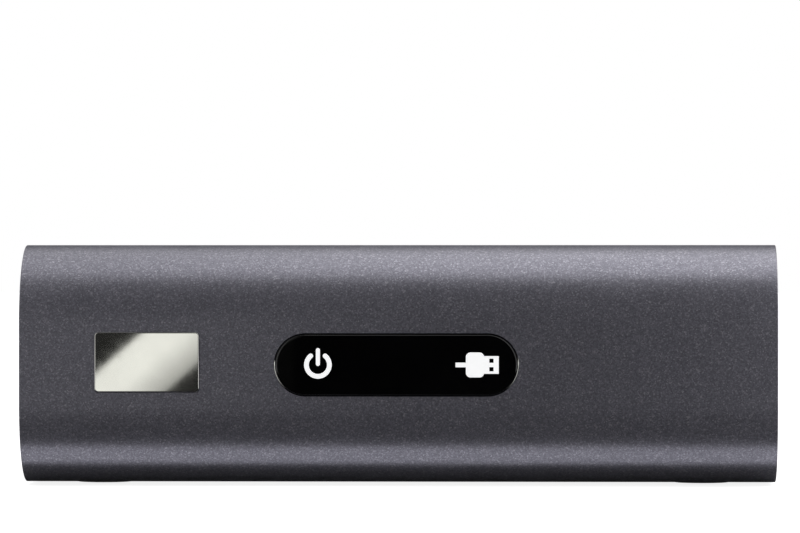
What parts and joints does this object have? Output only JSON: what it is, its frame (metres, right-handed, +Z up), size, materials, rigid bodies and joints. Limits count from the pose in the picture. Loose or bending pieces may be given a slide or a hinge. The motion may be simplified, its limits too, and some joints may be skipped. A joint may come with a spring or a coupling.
{
  "type": "media player",
  "caption": "Compact media player: a metal sleeve with a rounded front, a glossy status window, rear sockets and a side tray that takes a laptop-size hard drive.",
  "frame": {"origin": "under the middle of the case, on the surface that the feet stand on", "axes": "+X to the viewer's right along the front, +Y from the front to the rear, +Z up"},
  "size_m": [0.125, 0.1002, 0.04],
  "materials": {
    "case_paint": "dark grey metallic paint with fine sparkle",
    "case_plastic": "fine moulded grain, black",
    "window_black": "polished black acrylic",
    "symbol_white": "white, flush in the window",
    "badge_metal": "polished, bare",
    "foot_rubber": "soft black rubber",
    "sheet_steel": "zinc-plated sheet",
    "socket_steel": "bright nickel-plated shell",
    "screw_steel": "plated screws",
    "board_green": "solder-masked board",
    "chip_black": "moulded packages",
    "part_black": "moulded black plastic",
    "part_ivory": "moulded ivory plastic",
    "sink_metal": "extruded, clear anodised",
    "pad_grey": "soft thermal pad",
    "can_metal": "drawn cans",
    "coil_grey": "ferrite",
    "led_clear": "clear epoxy",
    "insert_yellow": "yellow",
    "insert_white": "white",
    "insert_red": "red",
    "brass_pin": "bright brass",
    "drive_casting": "die-cast",
    "drive_cover": "pressed lid"
  },
  "bodies": {
    "player": {"sleeve": "case_paint", "end_cap_left": "case_plastic", "end_cap_right": "case_plastic", "rear_panel": "case_plastic", "window_lens": "window_black", "power_icon": "symbol_white", "plug_icon": "symbol_white", "badge_plate": "badge_metal", "feet": "foot_rubber", "chassis": "sheet_steel", "drive_cage": "sheet_steel", "av_shells": "socket_steel", "video_socket": "socket_steel", "rear_data_socket": "socket_steel", "side_data_socket": "socket_steel", "pan_screws": "screw_steel", "countersunk_screws": "screw_steel", "front_screws": "screw_steel", "front_spacers": "screw_steel", "main_board": "board_green", "front_board": "board_green", "dock_board": "board_green", "processor": "chip_black", "memory_chips": "chip_black", "light_box": "part_black", "av_socket_block": "part_black", "power_jack": "part_black", "optical_socket": "part_black", "dock_socket": "part_black", "reset_switch": "part_black", "video_socket_tongue": "part_black", "guide_rail_front": "part_black", "guide_rail_rear": "part_black", "infrared_receiver": "part_black", "ribbon_sockets": "part_ivory", "front_ribbon": "part_ivory", "dock_cable": "part_ivory", "rear_data_socket_tongue": "part_ivory", "side_data_socket_tongue": "part_ivory", "heat_sink": "sink_metal", "thermal_pad": "pad_grey", "capacitors": "can_metal", "inductors": "coil_grey", "indicator_lights": "led_clear", "av_insert_yellow": "insert_yellow", "av_insert_white": "insert_white", "av_insert_red": "insert_red", "power_jack_pin": "brass_pin"},
    "tray": {"drive_tray": "sheet_steel", "tray_bezel": "case_plastic", "handle_pin": "screw_steel", "drive_casting": "drive_casting", "drive_cover": "drive_cover", "drive_circuit": "board_green", "drive_plug": "part_black", "drive_screws": "screw_steel"},
    "handle": {"tray_handle": "case_plastic"},
    "lock": {"tray_lock": "case_plastic"},
    "reset": {"reset_button": "part_ivory"},
    "shutter": {"optical_shutter": "part_black"}
  },
  "joints": [
    {"name": "tray_slide", "type": "slide", "parent": "player", "child": "tray", "axis": [1, 0, 0], "range_m": [0, 0.105]},
    {"name": "handle_hinge", "type": "hinge", "parent": "tray", "child": "handle", "pos_m": [0.0606, 0.0346, 0.0299], "axis": [0, 0, 1], "range_deg": [0, 75]},
    {"name": "lock_slide", "type": "slide", "parent": "tray", "child": "lock", "axis": [0, -1, 0], "range_m": [0, 0.002]},
    {"name": "reset_press", "type": "slide", "parent": "player", "child": "reset", "axis": [1, 0, 0], "range_m": [0, 0.0005], "stiffness_N_per_m": 600, "springref_m": -0.001},
    {"name": "shutter_hinge", "type": "hinge", "parent": "player", "child": "shutter", "pos_m": [0.036, 0.0483, 0.0162], "axis": [-1, 0, 0], "range_deg": [0, 80], "stiffness_Nm_per_rad": 0.0002, "springref_deg": -28.65}
  ]
}
